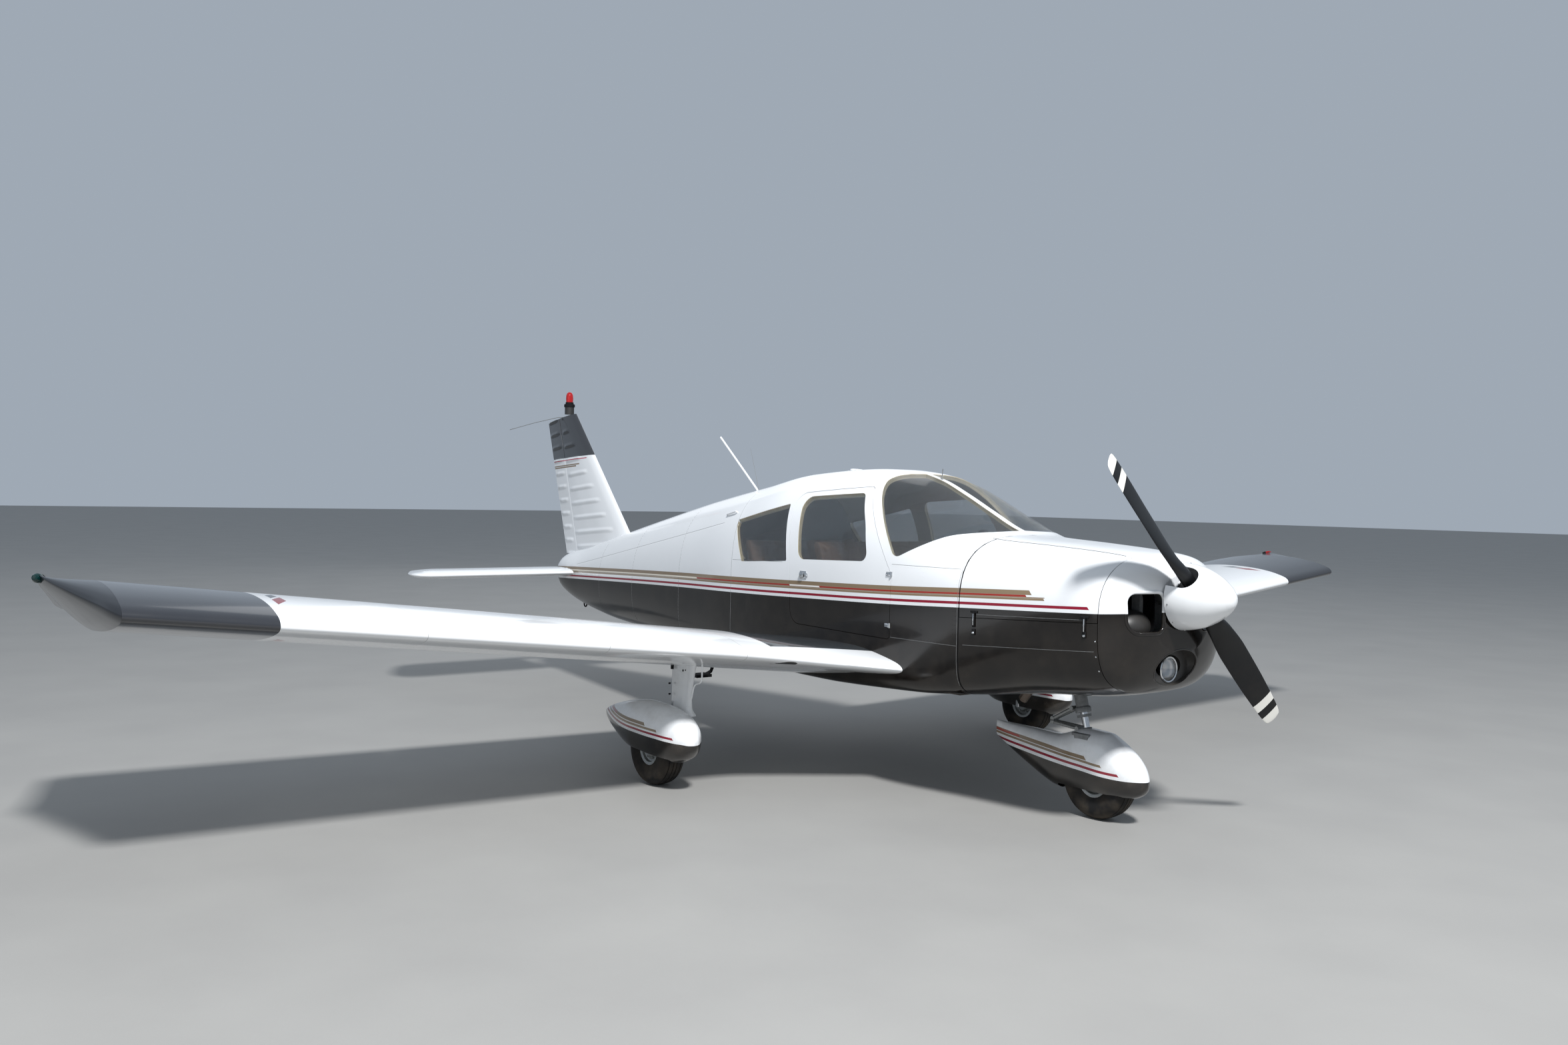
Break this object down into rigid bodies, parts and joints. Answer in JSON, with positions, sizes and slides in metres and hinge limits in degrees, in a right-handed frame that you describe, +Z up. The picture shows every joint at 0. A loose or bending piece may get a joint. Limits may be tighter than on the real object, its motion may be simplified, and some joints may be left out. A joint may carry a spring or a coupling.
{
  "type": "light aircraft",
  "caption": "Low-wing light aircraft with fixed nosewheel gear in pants, fuselage-side cabin door, turning propeller, opening cowl doors and moving control surfaces",
  "frame": {"origin": "on the ground under the middle of the whole aircraft", "axes": "X forward to the nose, Y to port, Z up"},
  "size_m": [7.0976, 9.14, 2.4915],
  "materials": {
    "skin_white": "satin",
    "skin_dark": "gloss",
    "tip_grey": "gloss",
    "glazing": "clear",
    "steel": "brushed",
    "chrome": "polished",
    "iron": "cast",
    "black": "matte",
    "rubber": "matte",
    "trim": "woven",
    "lamp_red": "clear",
    "alloy": "painted"
  },
  "bodies": {
    "airframe": {"antenna_whip": "skin_white", "beacon": "lamp_red", "belly_floor": "skin_dark", "boarding_step": "skin_white", "cabin_roof": "skin_white", "cabin_side_left": "skin_white", "cabin_side_right_front": "skin_white", "cabin_side_right_rear": "skin_white", "cowl_lower": "skin_dark", "cowl_top": "skin_white", "engine": "iron", "exhaust_pipe": "steel", "fin": "skin_white", "firewall": "steel", "instrument_panel": "black", "main_leg_left": "skin_white", "main_leg_right": "skin_white", "nose_bowl": "skin_white", "nose_strut_housing": "iron", "rear_bulkhead": "steel", "scuttle": "skin_white", "seat_front_left": "trim", "seat_front_right": "trim", "seat_rear": "trim", "tail_cone": "skin_white", "tail_ring": "black", "wheel_pant_left": "skin_white", "wheel_pant_right": "skin_white", "window_left_front": "glazing", "window_left_rear": "glazing", "window_right_rear": "glazing", "windshield_left": "glazing", "windshield_right": "glazing", "wing_left": "skin_white", "wing_right": "skin_white", "wingtip_left": "tip_grey", "wingtip_right": "tip_grey"},
    "propeller_disc": {"propeller": "alloy", "spinner": "skin_white"},
    "cowl_door_left": {"cowl_door_left": "skin_white"},
    "cowl_door_right": {"cowl_door_right": "skin_white"},
    "cabin_door": {"cabin_door": "skin_white", "door_window": "glazing"},
    "aileron_left": {"aileron_left": "skin_white"},
    "aileron_right": {"aileron_right": "skin_white"},
    "flap_left": {"flap_left": "skin_white"},
    "flap_right": {"flap_right": "skin_white"},
    "rudder": {"rudder": "skin_white"},
    "stabilator": {"stabilator": "skin_white"},
    "anti_servo_tab": {"anti_servo_tab": "skin_white"},
    "nose_gear": {"nose_fork": "chrome", "nose_pant": "skin_white"},
    "nose_wheel": {"nose_tyre": "rubber", "nose_rim": "alloy"},
    "main_wheel_left": {"main_tyre_left": "rubber", "main_rim_left": "alloy"},
    "main_wheel_right": {"main_tyre_right": "rubber", "main_rim_right": "alloy"}
  },
  "joints": [
    {"name": "propeller_spin", "type": "hinge", "parent": "airframe", "child": "propeller_disc", "pos_m": [3.343, 0, 1.186], "axis": [1, 0, 0], "continuous": true},
    {"name": "nose_steering", "type": "hinge", "parent": "airframe", "child": "nose_gear", "pos_m": [2.763, 0, 0.205], "axis": [-0.2741, 0, 0.9617], "range_deg": [-30, 30]},
    {"name": "nose_wheel_spin", "type": "hinge", "parent": "nose_gear", "child": "nose_wheel", "pos_m": [2.785, 0, 0.205], "axis": [0, 1, 0], "continuous": true},
    {"name": "main_wheel_left_spin", "type": "hinge", "parent": "airframe", "child": "main_wheel_left", "pos_m": [0.9, 1.524, 0.205], "axis": [0, 1, 0], "continuous": true},
    {"name": "main_wheel_right_spin", "type": "hinge", "parent": "airframe", "child": "main_wheel_right", "pos_m": [0.9, -1.524, 0.205], "axis": [0, 1, 0], "continuous": true},
    {"name": "cabin_door_swing", "type": "hinge", "parent": "airframe", "child": "cabin_door", "pos_m": [1.778, -0.59, 1.074], "axis": [0, 0, 1], "range_deg": [0, 75]},
    {"name": "cowl_door_left_lift", "type": "hinge", "parent": "airframe", "child": "cowl_door_left", "pos_m": [3.1, 0.233, 1.388], "axis": [0.9955, -0.0684, -0.066], "range_deg": [0, 85]},
    {"name": "cowl_door_right_lift", "type": "hinge", "parent": "airframe", "child": "cowl_door_right", "pos_m": [3.1, -0.233, 1.388], "axis": [-0.9955, -0.0684, 0.066], "range_deg": [0, 85]},
    {"name": "aileron_left_hinge", "type": "hinge", "parent": "airframe", "child": "aileron_left", "pos_m": [0.209, 2.622, 0.84892], "axis": [0, 0.9929, 0.119], "range_deg": [-15, 30]},
    {"name": "aileron_right_hinge", "type": "hinge", "parent": "airframe", "child": "aileron_right", "pos_m": [0.209, -2.622, 0.84892], "axis": [0, 0.9929, -0.119], "range_deg": [-15, 30]},
    {"name": "flap_left_hinge", "type": "hinge", "parent": "airframe", "child": "flap_left", "pos_m": [0.209, 0.64, 0.61134], "axis": [0, -0.9929, -0.119], "range_deg": [0, 40]},
    {"name": "flap_right_hinge", "type": "hinge", "parent": "airframe", "child": "flap_right", "pos_m": [0.209, -0.64, 0.61134], "axis": [0, -0.9929, 0.119], "range_deg": [0, 40]},
    {"name": "rudder_hinge", "type": "hinge", "parent": "airframe", "child": "rudder", "pos_m": [-2.94, 0, 1.129], "axis": [-0.2951, 0, 0.9555], "range_deg": [-27, 27]},
    {"name": "stabilator_pivot", "type": "hinge", "parent": "airframe", "child": "stabilator", "pos_m": [-2.925, 0, 0.948], "axis": [0, 1, 0], "range_deg": [-2, 18]},
    {"name": "anti_servo_tab_hinge", "type": "hinge", "parent": "stabilator", "child": "anti_servo_tab", "pos_m": [-3.35, 0, 0.948], "axis": [0, 1, 0], "range_deg": [-3, 13]}
  ],
  "couplings": [
    {"joint": "anti_servo_tab_hinge", "follows": "stabilator_pivot", "ratio": 0.65}
  ]
}
